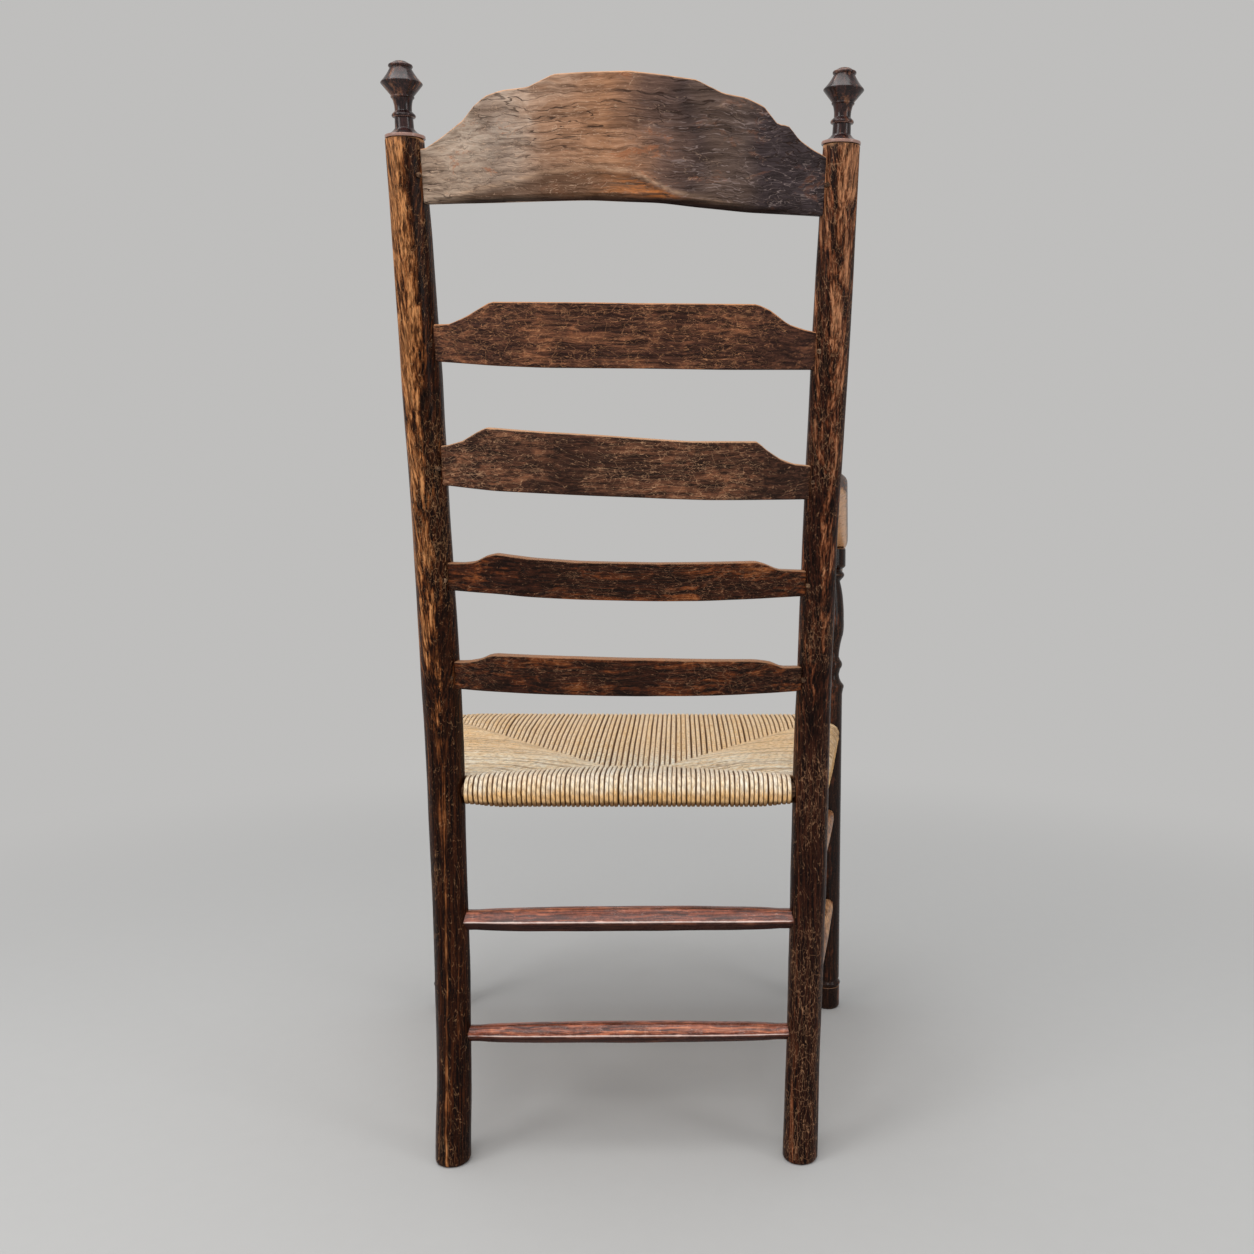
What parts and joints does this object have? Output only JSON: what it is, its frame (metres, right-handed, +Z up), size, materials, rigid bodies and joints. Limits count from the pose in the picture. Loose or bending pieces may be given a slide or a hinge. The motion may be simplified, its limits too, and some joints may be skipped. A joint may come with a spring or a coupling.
{
  "type": "ladderback armchair",
  "caption": "Rush-seated ladderback armchair with raked pole back posts, turned finials, shaped and bowed slats, downswept arms on turned front posts and plain rungs.",
  "frame": {"origin": "on the floor, below the middle of the chair's bounding box", "axes": "+Z up; the chair faces -Y, its back leans to +Y; +X is the sitter's left"},
  "size_m": [0.6183, 0.6121, 1.1211],
  "materials": {
    "post_wood": "old dark brown stain and wax, worn to orange brown",
    "slat_wood": "old dark brown stain and wax, scratched, paler on the upper edges",
    "finial_wood": "near black polish",
    "stretcher_wood": "red brown polish",
    "arm_wood": "dark stain worn to tan along the edges and below",
    "rail_wood": "bare pale wood, under the rush",
    "peg_wood": "pale pegs",
    "rush": "twisted straw coloured rush cord, dry and matt"
  },
  "bodies": {
    "root": {"rear_post_left": "post_wood", "rear_post_right": "post_wood", "front_post_left": "post_wood", "front_post_right": "post_wood", "finial_left": "finial_wood", "finial_right": "finial_wood", "crest_rail": "slat_wood", "back_slat_2": "slat_wood", "back_slat_3": "slat_wood", "back_slat_4": "slat_wood", "back_slat_5": "slat_wood", "arm_left": "arm_wood", "arm_right": "arm_wood", "rear_seat_rail": "rail_wood", "front_seat_rail": "rail_wood", "side_seat_rail_left": "rail_wood", "side_seat_rail_right": "rail_wood", "rush_seat": "rush", "rear_stretcher_upper": "stretcher_wood", "rear_stretcher_lower": "stretcher_wood", "side_stretcher_upper_left": "stretcher_wood", "side_stretcher_upper_right": "stretcher_wood", "side_stretcher_lower_left": "stretcher_wood", "side_stretcher_lower_right": "stretcher_wood", "front_stretcher": "stretcher_wood", "slat_pegs": "peg_wood"}
  },
  "joints": []
}
